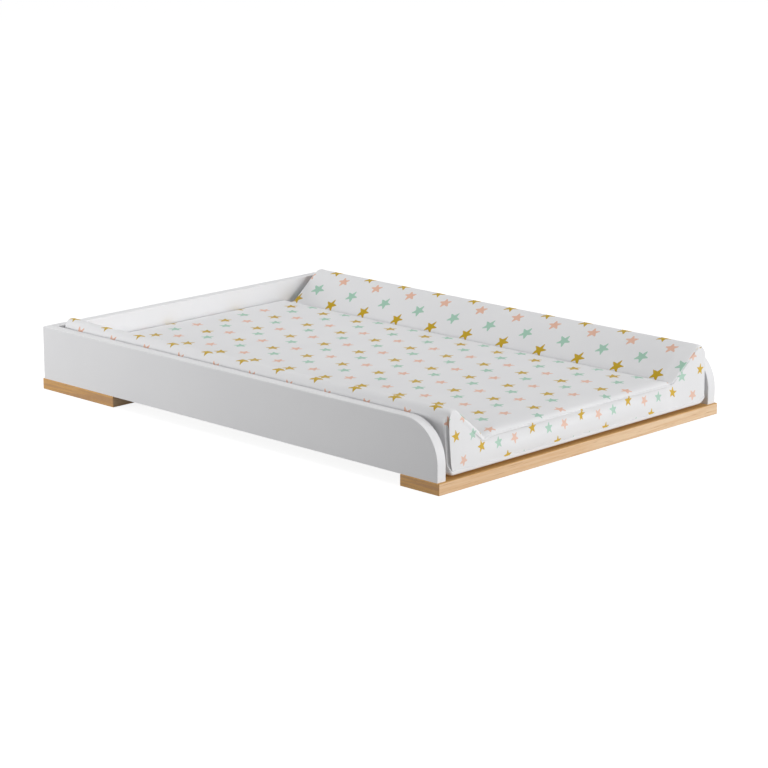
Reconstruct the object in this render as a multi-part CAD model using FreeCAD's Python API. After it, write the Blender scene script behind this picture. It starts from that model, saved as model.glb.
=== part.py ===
import FreeCAD, Part
import math
import os

# A changing top: a three-sided white tray on two oak rails, with a wedge-sided mat that lifts out.
# Millimetres, +Z up, +X to the right, the open front faces -Y.
# The origin is under the middle of the tray, on the surface that the rails stand on.

V = FreeCAD.Vector
AXIS_X, AXIS_Y, AXIS_Z = V(1, 0, 0), V(0, 1, 0), V(0, 0, 1)

# Painted boards of the tray
board = 16.0
tray_width = 575.0
tray_length = 794.0
panel_height = 78.5
corner_radius = 57.0
paint_round = 1.2

# Oak rails and the slat between them
rail_thickness = 16.0
front_rail_depth = 69.0
rear_rail_depth = 160.0
rail_side_overhang = 1.0
rail_front_overhang = 4.0
rail_rear_overhang = 2.0
oak_round = 1.0
slat_width = 60.0
slat_round = 0.6

# Thin base board, let into rebates of the three walls
base_thickness = 3.0
rebate_depth = 6.0
base_front_setback = 20.0
base_clearance = 0.3

# Countersunk screws from under the rails
screw_shank = 4.0
screw_head = 8.0
screw_grip = 30.0
screw_sink = 0.8
screw_point = 4.0
screw_end_margin = 18.0
screw_wall_margin = 26.0
rear_screw_offset = 150.0
recess_span = 4.4
recess_slot = 1.0
recess_depth = 1.4

# Flat-headed nails that hold the edges of the base
nail_shank = 1.6
nail_head = 4.5
nail_head_height = 0.6
nail_grip = 15.0
nail_point = 2.0
nails_per_side = 4

# Wooden dowels
dowel_diameter = 8.0
dowel_in_panel = 11.0
dowel_in_end = 19.0
dowel_chamfer = 1.0
dowel_spread = 40.0
slat_dowel_spread = 30.0
slat_dowel_half = 15.0

# Cam fittings that pull the rear panel to the sides
cam_diameter = 15.0
cam_floor = 0.9
cam_from_end = 24.0
cam_slot_width = 1.6
cam_slot_span = 9.0
cam_slot_depth = 2.5
cam_bolt_thread = 5.0
cam_bolt_in_panel = 10.5
cam_bolt_collar = 6.6
cam_bolt_collar_length = 2.0
cam_bolt_shank = 4.4
cam_bolt_head = 6.8
cam_bolt_head_length = 4.0
cap_diameter = 18.0
cap_thickness = 1.2
cap_plug = 4.0
cap_plug_length = 2.0

# Clearances of drilled holes
hole_clearance = 0.2
thread_clearance = 0.05
bore_end_gap = 1.0

# Mat: foam in a printed cover with a plain sheet underneath
mat_side_gap = 5.0
mat_front_setback = 1.5
mat_rear_gap = 6.0
mat_crease_height = 42.0
mat_ridge_height = 87.0
shoulder_rise = 5.0
shoulder_run = 25.0
mat_crown = 1.5
mat_end_crown = 0.5
side_draw = 3.0
wedge_width = 75.0
ridge_radius = 15.0
foot_radius = 9.0
end_radius = 7.0
least_round = 1.5
film = 1.0
foam_clearance = 0.2
weld_height = 8.0
mat_spans = 6
end_steps = 3

# Places that follow from the sizes
half_width = tray_width / 2
inner_half = half_width - board
rail_half = half_width + rail_side_overhang
overall_length = rail_front_overhang + tray_length + rail_rear_overhang
rail_front = -overall_length / 2
rail_rear = overall_length / 2
front_rail_inner = rail_front + front_rail_depth
rear_rail_inner = rail_rear - rear_rail_depth
panel_front = rail_front + rail_front_overhang
panel_rear = panel_front + tray_length
rear_wall = panel_rear - board
rear_middle = panel_rear - board / 2
screw_line = half_width - (board - rebate_depth) / 2
rear_screw_line = panel_rear - (board - rebate_depth) / 2
panel_bottom = rail_thickness
panel_top = panel_bottom + panel_height
panel_level = panel_bottom + panel_height / 2
base_top = panel_bottom + base_thickness
base_front = panel_front + base_front_setback
rebate_half = inner_half + rebate_depth
rebate_rear = rear_wall + rebate_depth
mat_half = inner_half - mat_side_gap
mat_front = panel_front + mat_front_setback
mat_rear = rear_wall - mat_rear_gap
crease_level = base_top + mat_crease_height
ridge_top = base_top + mat_ridge_height
weld_level = base_top + weld_height
foam_split = mat_half - wedge_width
end_round = min(end_radius, foot_radius - least_round, ridge_radius - least_round)
cam_passage = max(cam_bolt_head, cam_bolt_collar) + 2 * hole_clearance
cam_depth = board / 2 + cam_passage / 2 + cam_floor


def block(x0, x1, y0, y1, z0, z1):
    """A box between two corners."""
    return Part.makeBox(x1 - x0, y1 - y0, z1 - z0, V(x0, y0, z0))


def turned(outline, place, direction):
    """A solid of revolution from (radius, height) points, set at a place along a direction."""
    corners = [p for p, following in zip(outline, outline[1:] + outline[:1]) if p != following]
    points = [V(radius, 0, height) for radius, height in corners]
    wire = Part.makePolygon(points + [points[0]])
    solid = Part.Face(wire).revolve(V(0, 0, 0), AXIS_Z, 360)
    solid.Placement = FreeCAD.Placement(place, FreeCAD.Rotation(AXIS_Z, direction))
    return solid


def rod(diameter, length, place, direction):
    """A plain round bar or bore."""
    return Part.makeCylinder(diameter / 2, length, place, direction)


def rounded_block(x0, x1, y0, y1, z0, z1, radius):
    """A box with all its edges rounded."""
    solid = block(x0, x1, y0, y1, z0, z1)
    return solid.makeFillet(radius, solid.Edges)


def screw_places():
    """Under each side panel in pairs at both rails, and along the rear panel."""
    along = [
        panel_front + screw_end_margin,
        front_rail_inner - screw_end_margin,
        rear_rail_inner + screw_end_margin,
        rear_wall - screw_wall_margin,
    ]
    places = [V(side * screw_line, y, screw_sink) for side in (-1, 1) for y in along]
    return places + [V(side * rear_screw_offset, rear_screw_line, screw_sink) for side in (-1, 1)]


def rail_screw(place):
    """A countersunk screw with a cross recess, pointing up from the underside of a rail."""
    cone = (screw_head - screw_shank) / 2
    length = rail_thickness - screw_sink + screw_grip
    outline = [
        (0, 0),
        (screw_head / 2, 0),
        (screw_shank / 2, cone),
        (screw_shank / 2, length - screw_point),
        (0, length),
    ]
    arm, slot = recess_span / 2, recess_slot / 2
    cross = block(-arm, arm, -slot, slot, 0, recess_depth)
    cross = cross.fuse(block(-slot, slot, -arm, arm, 0, recess_depth))
    cross.translate(place)
    return turned(outline, place, AXIS_Z).cut(cross)


def rail_bore(place):
    """The clearance hole and countersink of a rail screw."""
    wide = screw_head / 2 + thread_clearance
    narrow = screw_shank / 2 + hole_clearance
    cone = wide - narrow
    outline = [
        (0, -screw_sink),
        (wide, -screw_sink),
        (wide, 0),
        (narrow, cone),
        (narrow, rail_thickness - screw_sink),
        (0, rail_thickness - screw_sink),
    ]
    return turned(outline, place, AXIS_Z)


def screw_pilot(place):
    """The hole that a rail screw bites in a panel edge."""
    start = V(place.x, place.y, panel_bottom)
    return rod(screw_shank + 2 * thread_clearance, screw_grip + bore_end_gap, start, AXIS_Z)


def nail_places():
    """Evenly along each side between the rails, in the middle of the rebate."""
    step = (rear_rail_inner - front_rail_inner) / nails_per_side
    rows = [front_rail_inner + step / 2 + step * i for i in range(nails_per_side)]
    x = inner_half + rebate_depth / 2
    return [V(side * x, y, panel_bottom) for side in (-1, 1) for y in rows]


def base_nail(place):
    """A small nail up through the base into a side panel."""
    length = base_thickness + nail_grip
    outline = [
        (0, -nail_head_height),
        (nail_head / 2, -nail_head_height),
        (nail_head / 2, 0),
        (nail_shank / 2, 0),
        (nail_shank / 2, length - nail_point),
        (0, length),
    ]
    return turned(outline, place, AXIS_Z)


def nail_hole(place):
    """The hole of a nail, from under the base up into the panel."""
    length = base_thickness + nail_grip + bore_end_gap
    return rod(nail_shank + 2 * thread_clearance, length, place, AXIS_Z)


def dowel(place, direction, back, ahead):
    """A chamfered dowel that reaches back and ahead of the joint plane."""
    radius = dowel_diameter / 2
    outline = [
        (0, -back),
        (radius - dowel_chamfer, -back),
        (radius, -back + dowel_chamfer),
        (radius, ahead - dowel_chamfer),
        (radius - dowel_chamfer, ahead),
        (0, ahead),
    ]
    return turned(outline, place, direction)


def dowel_bore(place, direction, back, ahead):
    """The bore of a dowel, a little longer at both ends."""
    start = place - direction * (back + bore_end_gap)
    length = back + ahead + 2 * bore_end_gap
    return rod(dowel_diameter + 2 * thread_clearance, length, start, direction)


def panel_dowel_places():
    """Two dowels at each end of the rear panel, with the way that each points."""
    levels = [panel_level - dowel_spread / 2, panel_level + dowel_spread / 2]
    return [(V(side * inner_half, rear_middle, z), AXIS_X * -side) for side in (-1, 1) for z in levels]


def slat_dowel_places():
    """Two dowels at each end of the slat."""
    level = rail_thickness / 2
    columns = [-slat_dowel_spread / 2, slat_dowel_spread / 2]
    return [V(x, y, level) for y in (front_rail_inner, rear_rail_inner) for x in columns]


def cam_places():
    """Where each cam sits on the outer face of the rear panel."""
    return [(side, V(side * (inner_half - cam_from_end), panel_rear, panel_level)) for side in (-1, 1)]


def cam_lock(side, place):
    """A round cam with a driver slot and a pocket for the head of its bolt."""
    radius = cam_diameter / 2 - thread_clearance
    body = Part.makeCylinder(radius, cam_depth, place, -AXIS_Y)
    middle = V(place.x, rear_middle, place.z)
    reach = cam_bolt_head_length / 2 + hole_clearance
    pocket = rod(cam_passage, cam_diameter + reach, middle - AXIS_X * (side * reach), AXIS_X * side)
    half, slot = cam_slot_span / 2, cam_slot_width / 2
    driver = block(-half, half, -cam_slot_depth, 0, -slot, slot)
    driver = driver.fuse(block(-slot, slot, -cam_slot_depth, 0, -half, half))
    driver.translate(place)
    seat = rod(cap_plug + 2 * thread_clearance, cap_plug_length + hole_clearance, place, -AXIS_Y)
    return body.cut([pocket, driver, seat])


def cam_bolt(side, place):
    """The bolt from the side panel to the middle of the cam."""
    start = V(side * (inner_half + cam_bolt_in_panel), rear_middle, place.z)
    neck = cam_bolt_in_panel + cam_from_end - cam_bolt_head_length / 2
    tip = neck + cam_bolt_head_length
    collar = cam_bolt_in_panel + cam_bolt_collar_length
    outline = [
        (0, 0),
        (cam_bolt_thread / 2, 0),
        (cam_bolt_thread / 2, cam_bolt_in_panel),
        (cam_bolt_collar / 2, cam_bolt_in_panel),
        (cam_bolt_collar / 2, collar),
        (cam_bolt_shank / 2, collar),
        (cam_bolt_shank / 2, neck),
        (cam_bolt_head / 2, neck),
        (cam_bolt_head / 2, tip),
        (0, tip),
    ]
    return turned(outline, start, AXIS_X * -side)


def cam_bores(side, place):
    """The cam's pocket and the bolt's two bores."""
    pocket = rod(cam_diameter, cam_depth, place, -AXIS_Y)
    joint = V(side * inner_half, rear_middle, place.z)
    passage = rod(cam_passage, cam_from_end, joint, AXIS_X * -side)
    depth = cam_bolt_in_panel + bore_end_gap
    pilot = rod(cam_bolt_thread + 2 * thread_clearance, depth, joint, AXIS_X * side)
    return [pocket, passage], pilot


def cam_cap(place):
    """A thin cover cap over a cam, with a plug that clips into it."""
    rim = cap_diameter / 2
    edge = cap_thickness / 2
    outline = [
        (0, -cap_plug_length),
        (cap_plug / 2, -cap_plug_length),
        (cap_plug / 2, 0),
        (rim, 0),
        (rim, edge),
        (rim - edge, cap_thickness),
        (0, cap_thickness),
    ]
    return turned(outline, place, AXIS_Y)


def side_panel(side):
    """A painted side with a rounded front corner, a stopped rebate and its drilled holes."""
    outer, inner = side * half_width, side * inner_half
    front_low = V(outer, panel_front, panel_bottom)
    front_high = V(outer, panel_front, panel_top - corner_radius)
    round_middle = V(
        outer,
        panel_front + corner_radius * (1 - math.cos(math.pi / 4)),
        panel_top - corner_radius * (1 - math.sin(math.pi / 4)),
    )
    top_front = V(outer, panel_front + corner_radius, panel_top)
    top_rear = V(outer, panel_rear, panel_top)
    rear_low = V(outer, panel_rear, panel_bottom)
    outline = Part.Wire(
        [
            Part.LineSegment(front_low, front_high).toShape(),
            Part.Arc(front_high, round_middle, top_front).toShape(),
            Part.LineSegment(top_front, top_rear).toShape(),
            Part.LineSegment(top_rear, rear_low).toShape(),
            Part.LineSegment(rear_low, front_low).toShape(),
        ]
    )
    panel = Part.Face(outline).extrude(V(inner - outer, 0, 0))
    panel = panel.makeFillet(paint_round, painted_edges(panel))
    low, high = sorted((inner, side * rebate_half))
    rebate = block(low, high, base_front, rebate_rear, panel_bottom, base_top)
    cuts = [rebate]
    cuts += [screw_pilot(p) for p in screw_places()]
    cuts += [nail_hole(p) for p in nail_places()]
    cuts += [dowel_bore(p, d, dowel_in_panel, dowel_in_end) for p, d in panel_dowel_places()]
    cuts += [cam_bores(s, p)[1] for s, p in cam_places()]
    return panel.cut(cuts)


def painted_edges(panel):
    """The edges round both faces of a side panel, without its lower edge."""
    chosen = []
    for edge in panel.Edges:
        ends = [v.Point for v in edge.Vertexes]
        along_face = abs(ends[0].x - ends[-1].x) < board / 2
        low = all(abs(p.z - panel_bottom) < paint_round for p in ends)
        corner = all(p.y > rear_wall and p.z > panel_level for p in ends)
        if (along_face and not low) or (corner and not along_face):
            chosen.append(edge)
    return chosen


def rear_panel():
    """The painted rear wall between the sides, with its rebate, cam pockets and bores."""
    panel = block(-inner_half, inner_half, rear_wall, panel_rear, panel_bottom, panel_top)
    top_edges = [
        e for e in panel.Edges if all(abs(v.Point.z - panel_top) < paint_round for v in e.Vertexes)
    ]
    long_edges = [e for e in top_edges if e.Length > board + paint_round]
    panel = panel.makeFillet(paint_round, long_edges)
    cuts = [block(-inner_half, inner_half, rear_wall, rebate_rear, panel_bottom, base_top)]
    cuts += [screw_pilot(p) for p in screw_places()]
    cuts += [dowel_bore(p, d, dowel_in_panel, dowel_in_end) for p, d in panel_dowel_places()]
    for side, place in cam_places():
        cuts += cam_bores(side, place)[0]
    return panel.cut(cuts)


def base_panel():
    """The thin base, held between the rebates and the rails."""
    half = rebate_half - base_clearance
    rear = rebate_rear - base_clearance
    sheet = block(-half, half, base_front + base_clearance, rear, panel_bottom, base_top)
    return sheet.cut([nail_hole(p) for p in nail_places()])


def oak_rail(front, rear):
    """A flat oak rail across the whole width, bored for its screws and the slat's dowels."""
    rail = rounded_block(-rail_half, rail_half, front, rear, 0, rail_thickness, oak_round)
    cuts = [rail_bore(p) for p in screw_places() if front < p.y < rear]
    cuts += [dowel_bore(p, AXIS_Y, slat_dowel_half, slat_dowel_half) for p in slat_dowel_places()]
    return rail.cut(cuts)


def centre_slat():
    """The slat that carries the middle of the base between the rails."""
    half = slat_width / 2
    slat = block(-half, half, front_rail_inner, rear_rail_inner, 0, rail_thickness)
    lengthwise = [e for e in slat.Edges if e.Length > slat_width]
    slat = slat.makeFillet(slat_round, lengthwise)
    bores = [dowel_bore(p, AXIS_Y, slat_dowel_half, slat_dowel_half) for p in slat_dowel_places()]
    return slat.cut(bores)


def mat_section(y, inset):
    """The mat's outline across its width, set in by an amount all round.

    A flat middle falls over round shoulders to two creases, and a wedge rises outside each crease.
    """
    share = (y - mat_front) / (mat_rear - mat_front)
    swell = 4 * share * (1 - share)
    half = mat_half - side_draw * swell
    crown = mat_end_crown + (mat_crown - mat_end_crown) * swell
    ridge_x, ridge_z = half - ridge_radius, ridge_top - ridge_radius
    crease_x = half - wedge_width
    run, rise = ridge_x - crease_x, ridge_z - crease_level
    slope = math.atan2(rise, run) + math.asin(ridge_radius / math.hypot(run, rise))
    bow = (shoulder_run ** 2 + shoulder_rise ** 2) / (2 * shoulder_rise)
    dip = math.asin(shoulder_run / bow)
    bow_x, bow_z = crease_x - shoulder_run, crease_level + shoulder_rise - bow
    foot, ridge, shoulder = foot_radius - inset, ridge_radius - inset, bow - inset
    floor = base_top + inset
    wall = half - inset
    mitre = inset / (1 + math.cos(slope + dip))
    corner_x = crease_x + mitre * (math.sin(slope) - math.sin(dip))
    corner_z = crease_level - mitre * (math.cos(slope) + math.cos(dip))
    lean = math.atan2(corner_x - bow_x, corner_z - bow_z) / 2
    diagonal = math.cos(math.pi / 4)
    over = (math.pi / 2 + slope) / 2

    def side_points(s):
        return [
            V(s * (wall - foot), y, floor),
            V(s * (wall - foot * (1 - diagonal)), y, floor + foot * (1 - diagonal)),
            V(s * wall, y, floor + foot),
            V(s * wall, y, ridge_z),
            V(s * (ridge_x + ridge * math.cos(over)), y, ridge_z + ridge * math.sin(over)),
            V(s * (ridge_x - ridge * math.sin(slope)), y, ridge_z + ridge * math.cos(slope)),
            V(s * corner_x, y, corner_z),
            V(s * (bow_x + shoulder * math.sin(lean)), y, bow_z + shoulder * math.cos(lean)),
            V(s * bow_x, y, bow_z + shoulder),
        ]

    def side_edges(p):
        return [
            Part.Arc(p[0], p[1], p[2]).toShape(),
            Part.LineSegment(p[2], p[3]).toShape(),
            Part.Arc(p[3], p[4], p[5]).toShape(),
            Part.LineSegment(p[5], p[6]).toShape(),
            Part.Arc(p[6], p[7], p[8]).toShape(),
        ]

    right, left = side_points(1), side_points(-1)
    top = V(0, y, bow_z + shoulder + crown)
    floor_edge = Part.LineSegment(left[0], right[0]).toShape()
    crown_edge = Part.Arc(right[8], top, left[8]).toShape()
    return Part.Wire([floor_edge] + side_edges(right) + [crown_edge] + side_edges(left)[::-1])


def mat_form(inset):
    """The mat's closed form, with rounded ends, set in by an amount all round."""
    turn = end_round - inset
    angles = [math.pi / 2 * i / end_steps for i in range(end_steps + 1)]
    ends = [(end_round - turn * math.cos(a), end_round - turn * math.sin(a)) for a in angles]
    first, last = mat_front + end_round, mat_rear - end_round
    between = [first + (last - first) * i / mat_spans for i in range(1, mat_spans)]
    stations = [(mat_front + back, deep) for back, deep in ends]
    stations += [(y, inset) for y in between]
    stations += [(mat_rear - back, deep) for back, deep in reversed(ends)]
    return Part.makeLoft([mat_section(y, deep) for y, deep in stations], True, True)


def mat_cover():
    """The cover's top, its two ends and the sheet underneath, parted at their welds."""
    shell = mat_form(0).cut(mat_form(film))
    x, z = half_width, ridge_top + film
    below = block(-x, x, panel_front, rear_wall, 0, weld_level)
    front = block(-x, x, panel_front, mat_front + end_round, weld_level, z)
    middle = block(-x, x, mat_front + end_round, mat_rear - end_round, weld_level, z)
    rear = block(-x, x, mat_rear - end_round, rear_wall, weld_level, z)
    return [shell.common(part) for part in (middle, front, rear, below)]


def mat_foam():
    """The foam slab and the two foam wedges inside the cover."""
    core = mat_form(film + foam_clearance)
    x, y0, y1, z = half_width, panel_front, rear_wall, ridge_top
    left = block(-x, -foam_split, y0, y1, 0, z)
    middle = block(-foam_split, foam_split, y0, y1, 0, z)
    right = block(foam_split, x, y0, y1, 0, z)
    return [core.common(part) for part in (middle, left, right)]


def all_nodes():
    """Every separate piece by its name."""
    top, front_end, rear_end, sheet = mat_cover()
    slab, left_wedge, right_wedge = mat_foam()
    return {
        "left_side_panel": side_panel(-1),
        "right_side_panel": side_panel(1),
        "rear_panel": rear_panel(),
        "base_panel": base_panel(),
        "front_rail": oak_rail(rail_front, front_rail_inner),
        "rear_rail": oak_rail(rear_rail_inner, rail_rear),
        "centre_slat": centre_slat(),
        "rail_screws": Part.makeCompound([rail_screw(p) for p in screw_places()]),
        "base_nails": Part.makeCompound([base_nail(p) for p in nail_places()]),
        "panel_dowels": Part.makeCompound(
            [dowel(p, d, dowel_in_panel, dowel_in_end) for p, d in panel_dowel_places()]
        ),
        "slat_dowels": Part.makeCompound(
            [dowel(p, AXIS_Y, slat_dowel_half, slat_dowel_half) for p in slat_dowel_places()]
        ),
        "cam_bolts": Part.makeCompound([cam_bolt(s, p) for s, p in cam_places()]),
        "cam_locks": Part.makeCompound([cam_lock(s, p) for s, p in cam_places()]),
        "cam_caps": Part.makeCompound([cam_cap(p) for s, p in cam_places()]),
        "mat_top_cover": top,
        "mat_front_end": front_end,
        "mat_rear_end": rear_end,
        "mat_base_sheet": sheet,
        "foam_slab": slab,
        "foam_wedge_left": left_wedge,
        "foam_wedge_right": right_wedge,
    }


os.makedirs("parts", exist_ok=True)
for name, shape in all_nodes().items():
    print(name, len(shape.Solids), "solids", round(shape.Volume / 1000, 1), "cm3", shape.isValid())
    shape.exportStep(os.path.join("parts", name + ".step"))
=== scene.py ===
import math
import bpy
import numpy as np
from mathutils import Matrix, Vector


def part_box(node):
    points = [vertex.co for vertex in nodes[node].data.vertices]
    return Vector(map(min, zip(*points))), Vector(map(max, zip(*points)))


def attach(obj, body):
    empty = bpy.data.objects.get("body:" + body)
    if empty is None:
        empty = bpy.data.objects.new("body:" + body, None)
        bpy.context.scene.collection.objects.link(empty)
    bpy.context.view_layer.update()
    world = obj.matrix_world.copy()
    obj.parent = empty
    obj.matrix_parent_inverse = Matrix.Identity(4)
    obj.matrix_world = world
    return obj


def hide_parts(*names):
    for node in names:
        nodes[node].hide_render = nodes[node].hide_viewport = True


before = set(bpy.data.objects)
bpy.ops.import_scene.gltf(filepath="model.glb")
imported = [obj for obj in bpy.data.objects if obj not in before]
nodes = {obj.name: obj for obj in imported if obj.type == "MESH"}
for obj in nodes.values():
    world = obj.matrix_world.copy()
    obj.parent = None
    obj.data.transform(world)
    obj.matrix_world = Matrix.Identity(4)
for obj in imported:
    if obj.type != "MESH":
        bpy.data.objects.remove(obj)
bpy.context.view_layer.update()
scene = bpy.context.scene
print("frame loaded:", len(nodes), "nodes")


# Small helpers for node trees

def newMaterial(name):
    material = bpy.data.materials.new(name)
    material.use_nodes = True
    return material, material.node_tree, material.node_tree.nodes["Principled BSDF"]


def feed(tree, socket, value):  # a socket is linked, a plain value is set
    if isinstance(value, bpy.types.NodeSocket):
        tree.links.new(value, socket)
    else:
        socket.default_value = value


def calc(tree, operation, *terms):
    node = tree.nodes.new("ShaderNodeMath")
    node.operation = operation
    for socket, value in zip(node.inputs, terms):
        feed(tree, socket, value)
    return node.outputs[0]


def smoothStep(tree, value, low, high, start=0.0, end=1.0):
    node = tree.nodes.new("ShaderNodeMapRange")
    node.interpolation_type = "SMOOTHSTEP"
    for socket, item in zip(node.inputs, (value, low, high, start, end)):
        feed(tree, socket, item)
    return node.outputs[0]


def mixColour(tree, factor, first, second):
    node = tree.nodes.new("ShaderNodeMix")
    node.data_type = "RGBA"
    feed(tree, node.inputs["Factor"], factor)
    feed(tree, node.inputs["A"], first)
    feed(tree, node.inputs["B"], second)
    return node.outputs["Result"]


def objectPoint(tree, stretch=(1, 1, 1)):  # object coordinates in metres, stretched along each axis
    coordinate = tree.nodes.new("ShaderNodeTexCoord")
    mapping = tree.nodes.new("ShaderNodeMapping")
    mapping.inputs["Scale"].default_value = stretch
    tree.links.new(coordinate.outputs["Object"], mapping.inputs["Vector"])
    return mapping.outputs["Vector"]


def uvPoint(tree, name):
    node = tree.nodes.new("ShaderNodeUVMap")
    node.uv_map = name
    return node.outputs["UV"]


def noise(tree, point, scale, detail=2.0, roughness=0.5, distortion=0.0):
    node = tree.nodes.new("ShaderNodeTexNoise")
    feed(tree, node.inputs["Vector"], point)
    node.inputs["Scale"].default_value = scale
    node.inputs["Detail"].default_value = detail
    node.inputs["Roughness"].default_value = roughness
    node.inputs["Distortion"].default_value = distortion
    return node.outputs["Fac"]


def bump(tree, height, distance, strength=1.0, under=None):
    node = tree.nodes.new("ShaderNodeBump")
    node.inputs["Strength"].default_value = strength
    node.inputs["Distance"].default_value = distance
    feed(tree, node.inputs["Height"], height)
    if under is not None:
        feed(tree, node.inputs["Normal"], under)
    return node.outputs["Normal"]


def unevenGloss(tree, shader, value, finish, low=0.2, high=0.8):  # the roughness wanders with a noise
    smoothest, dullest = finish["gloss"], finish["gloss"] + finish["glossSpread"]
    feed(tree, shader.inputs["Roughness"], smoothStep(tree, value, low, high, smoothest, dullest))


def linear(red, green, blue):  # a colour written as 0 to 255, as screens show it
    values = [c / 255 for c in (red, green, blue)]
    return [c / 12.92 if c <= 0.04045 else ((c + 0.055) / 1.055) ** 2.4 for c in values] + [1.0]


# Finishes of the tray

lacquer = {"white": linear(239, 239, 240), "shade": linear(233, 233, 235), "cloud": 9.0, "peel": 420.0,
           "peelDepth": 0.00004, "gloss": 0.36, "glossSpread": 0.08}


def whiteLacquer():
    material, tree, shader = newMaterial("whiteLacquer")
    point = objectPoint(tree)
    cloud = noise(tree, point, lacquer["cloud"], 3.0)
    peel = noise(tree, point, lacquer["peel"], 2.0)
    feed(tree, shader.inputs["Base Color"], mixColour(tree, cloud, lacquer["white"], lacquer["shade"]))
    unevenGloss(tree, shader, cloud, lacquer)
    feed(tree, shader.inputs["Normal"], bump(tree, peel, lacquer["peelDepth"]))
    return material


hardboard = {"white": linear(232, 232, 230), "fibre": linear(214, 212, 206), "fleck": 900.0, "gloss": 0.55,
             "relief": 0.0001}


def whiteHardboard():
    material, tree, shader = newMaterial("whiteHardboard")
    point = objectPoint(tree)
    fleck = noise(tree, point, hardboard["fleck"], 4.0, 0.6)
    feed(tree, shader.inputs["Base Color"],
         mixColour(tree, smoothStep(tree, fleck, 0.5, 0.8), hardboard["white"], hardboard["fibre"]))
    shader.inputs["Roughness"].default_value = hardboard["gloss"]
    feed(tree, shader.inputs["Normal"], bump(tree, fleck, hardboard["relief"]))
    return material


oakWood = {
    "pale": linear(238, 208, 172), "warm": linear(222, 180, 134), "pore": linear(176, 128, 80),
    # the end colour also serves as painted shade on the rails' top faces
    "end": linear(210, 158, 84), "figure": 30.0, "grain": 280.0, "pores": 900.0, "poreShare": 0.5,
    "gloss": 0.5, "glossSpread": 0.15, "relief": 0.00008,
    "alongX": (0.035, 0.6, 1.0), "alongY": (0.6, 0.035, 1.0),  # the grain is stretched along its axis
    "skinFrom": 0.0009, "skinTo": 0.0003, "skinShare": 0.85,
}


def oak(name, stretch, high=None):
    material, tree, shader = newMaterial(name)
    point = objectPoint(tree, stretch)
    figure = noise(tree, point, oakWood["figure"], 3.0, 0.55, 0.6)
    grain = noise(tree, point, oakWood["grain"], 3.0, 0.55, 0.4)
    pores = smoothStep(tree, noise(tree, point, oakWood["pores"], 1.0, 0.5), 0.58, 0.74)
    body = mixColour(tree, smoothStep(tree, figure, 0.3, 0.7, 0.0, 0.6), oakWood["pale"], oakWood["warm"])
    fine = mixColour(tree, smoothStep(tree, grain, 0.36, 0.68, 0.0, 0.75), body, oakWood["warm"])
    # darker sawn ends, and painted shade on the rail's top face
    if high is not None:
        fine = endGrainAndPaintedTopShade(tree, fine, high)
    feed(tree, shader.inputs["Base Color"],
         mixColour(tree, calc(tree, "MULTIPLY", pores, oakWood["poreShare"]), fine, oakWood["pore"]))
    unevenGloss(tree, shader, grain, oakWood)
    height = calc(tree, "SUBTRACT", calc(tree, "MULTIPLY", grain, 0.5), pores)
    feed(tree, shader.inputs["Normal"], bump(tree, height, oakWood["relief"]))
    return material


def endGrainAndPaintedTopShade(tree, wood, high):
    # The sawn ends drink more oil and are darker. The upper face of a rail takes the same dark colour as
    # painted shade, standing in for the shade the mat casts on it
    def skin(value, face):
        return smoothStep(tree, value, face - oakWood["skinFrom"], face - oakWood["skinTo"],
                          0.0, oakWood["skinShare"])

    parts = tree.nodes.new("ShaderNodeSeparateXYZ")
    tree.links.new(objectPoint(tree), parts.inputs[0])
    sawn = skin(calc(tree, "ABSOLUTE", parts.outputs["X"]), high[0])
    # painted shade: the rail's top face is darkened to the end colour, as if shaded by the mat
    paintedTopShade = skin(parts.outputs["Z"], high[2])
    streak = noise(tree, objectPoint(tree, oakWood["alongY"]), oakWood["grain"], 3.0, 0.55, 0.4)
    sawnTint = mixColour(tree, smoothStep(tree, streak, 0.42, 0.60, 0.0, 0.8),
                         oakWood["end"], oakWood["pore"])
    return mixColour(tree, paintedTopShade, mixColour(tree, sawn, wood, sawnTint), oakWood["end"])


steel = {"colour": linear(205, 207, 210), "dull": linear(170, 172, 178), "spangle": 300.0, "gloss": 0.32,
         "glossSpread": 0.15, "relief": 0.00003}


def zincSteel():
    material, tree, shader = newMaterial("zincSteel")
    spangle = noise(tree, objectPoint(tree), steel["spangle"], 3.0, 0.6)
    feed(tree, shader.inputs["Base Color"], mixColour(tree, spangle, steel["colour"], steel["dull"]))
    shader.inputs["Metallic"].default_value = 1.0
    unevenGloss(tree, shader, spangle, steel)
    feed(tree, shader.inputs["Normal"], bump(tree, spangle, steel["relief"]))
    return material


beech = {"pale": linear(222, 190, 148), "fleck": linear(196, 156, 110), "scale": 160.0,
         "stretch": (0.3, 0.3, 1), "gloss": 0.7, "relief": 0.0001}


def dowelWood():
    material, tree, shader = newMaterial("dowelWood")
    fleck = noise(tree, objectPoint(tree, beech["stretch"]), beech["scale"], 4.0, 0.6)
    feed(tree, shader.inputs["Base Color"],
         mixColour(tree, smoothStep(tree, fleck, 0.4, 0.7), beech["pale"], beech["fleck"]))
    shader.inputs["Roughness"].default_value = beech["gloss"]
    feed(tree, shader.inputs["Normal"], bump(tree, fleck, beech["relief"]))
    return material


capPlastic = {"white": linear(236, 236, 234), "shade": linear(228, 228, 226), "grain": 700.0,
              "gloss": 0.42, "relief": 0.00005}


def whitePlastic():
    material, tree, shader = newMaterial("whitePlastic")
    grain = noise(tree, objectPoint(tree), capPlastic["grain"], 3.0)
    feed(tree, shader.inputs["Base Color"], mixColour(tree, grain, capPlastic["white"], capPlastic["shade"]))
    shader.inputs["Roughness"].default_value = capPlastic["gloss"]
    feed(tree, shader.inputs["Normal"], bump(tree, grain, capPlastic["relief"]))
    return material


def dress(material, *names):
    for name in names:
        slots = nodes[name].data.materials
        slots.clear()
        slots.append(material)


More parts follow.
